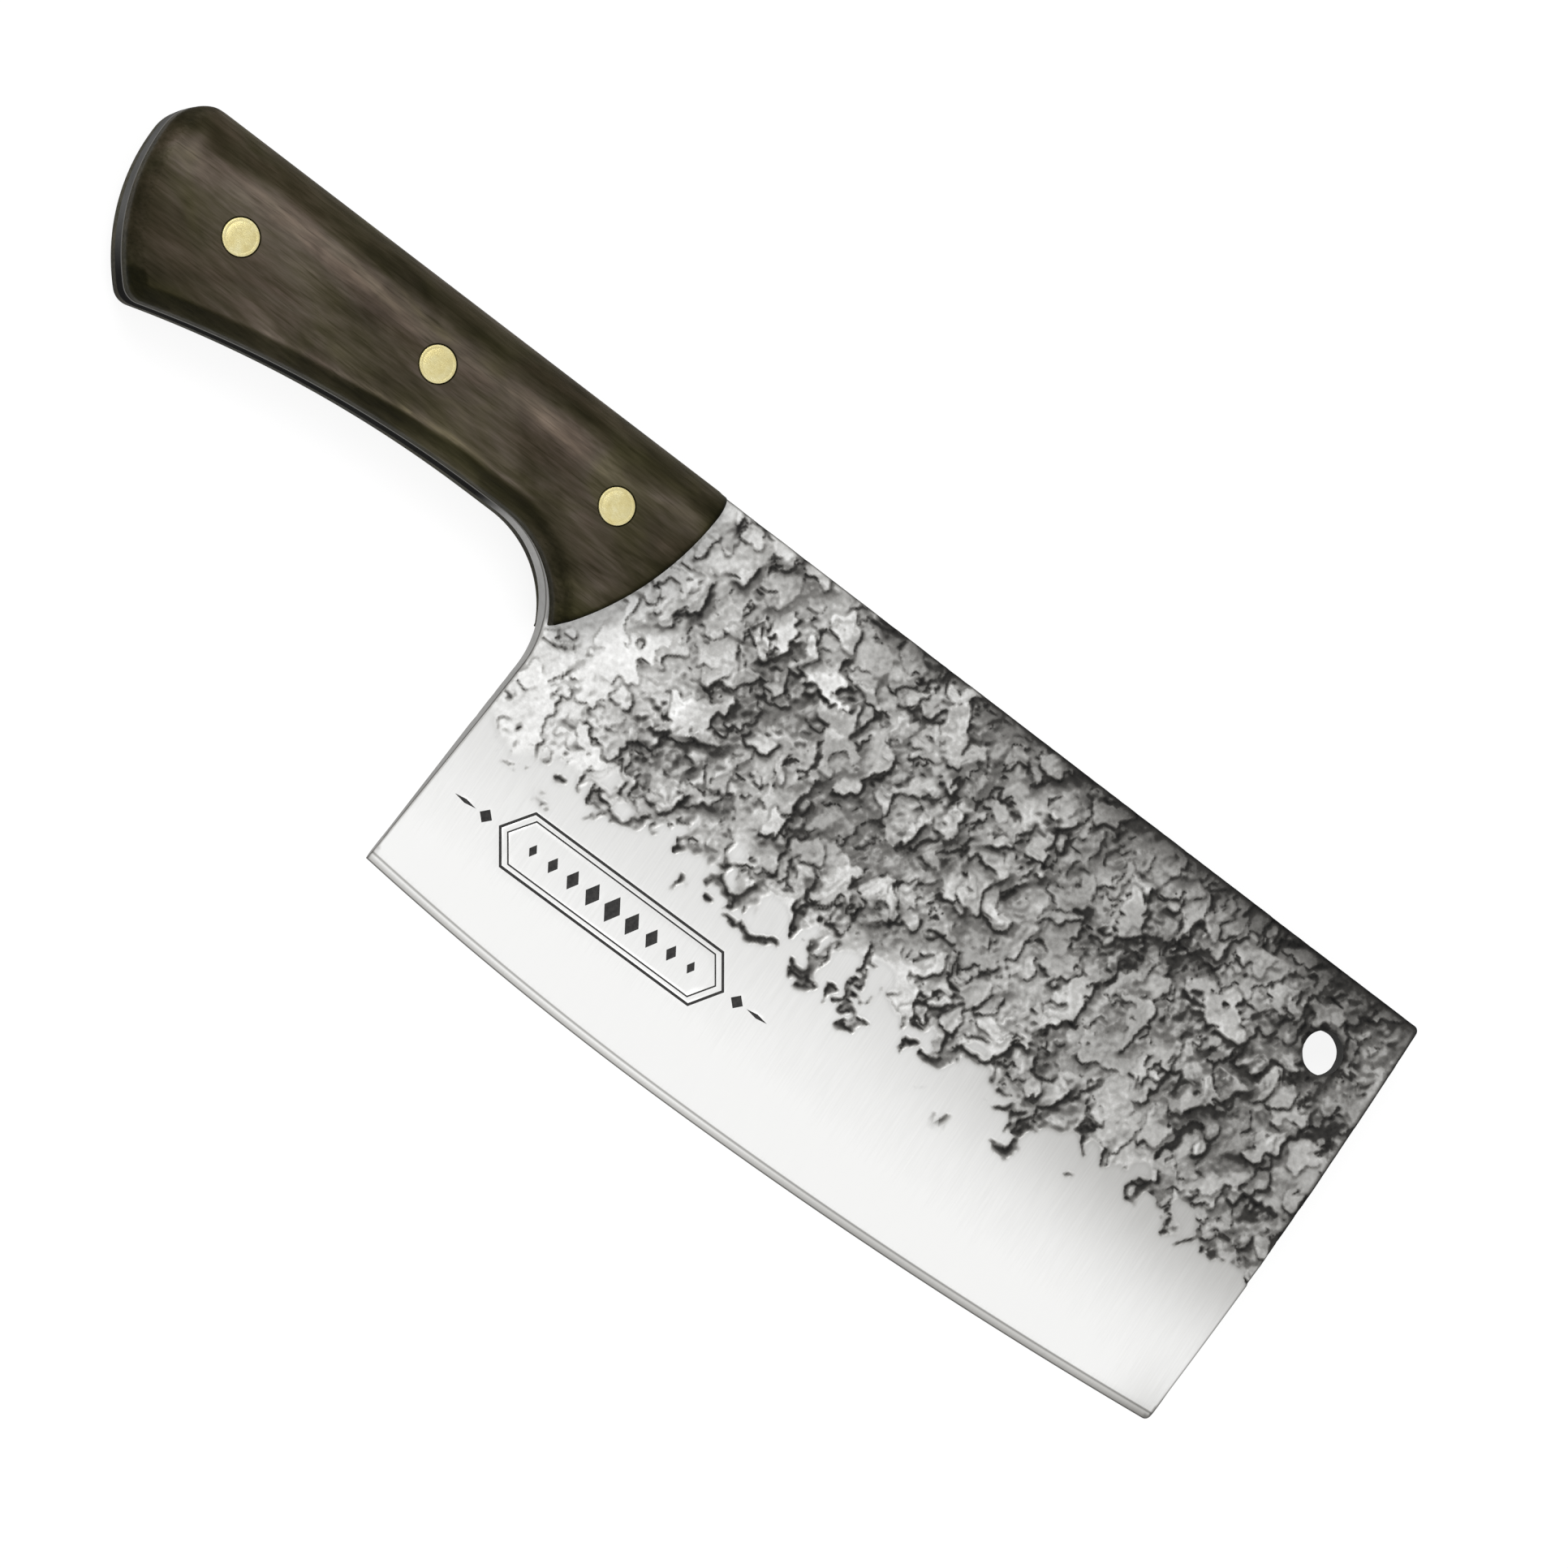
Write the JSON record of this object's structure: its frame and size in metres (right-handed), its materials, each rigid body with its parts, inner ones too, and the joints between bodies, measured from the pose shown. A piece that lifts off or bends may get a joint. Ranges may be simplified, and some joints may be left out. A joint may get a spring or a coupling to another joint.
{
  "type": "meat cleaver",
  "caption": "Full-tang forged butcher's cleaver: broad rectangular blade with a flaky upper face and bright ground edge, hanging hole near the tip, dark wood scales held by flush brass rivets",
  "frame": {"origin": "centre of the bounding box in X and Y, at the lowest face in Z, with the cleaver lying flat", "axes": "+X from the butt of the handle to the tip, +Y from the cutting edge to the spine, +Z through the thickness, out of the right-hand face"},
  "size_m": [0.3122, 0.102, 0.0175],
  "materials": {
    "forged_steel": "dark flaky forge scale above, satin ground steel below",
    "handle_wood": "satin oiled dark hardwood, straight grain along the handle",
    "rivet_brass": "faced flush and lightly polished"
  },
  "bodies": {
    "root": {"blade": "forged_steel", "scale_right": "handle_wood", "scale_left": "handle_wood", "rivet_rear_stud": "rivet_brass", "rivet_rear_sleeve": "rivet_brass", "rivet_middle_stud": "rivet_brass", "rivet_middle_sleeve": "rivet_brass", "rivet_front_stud": "rivet_brass", "rivet_front_sleeve": "rivet_brass"}
  },
  "joints": []
}
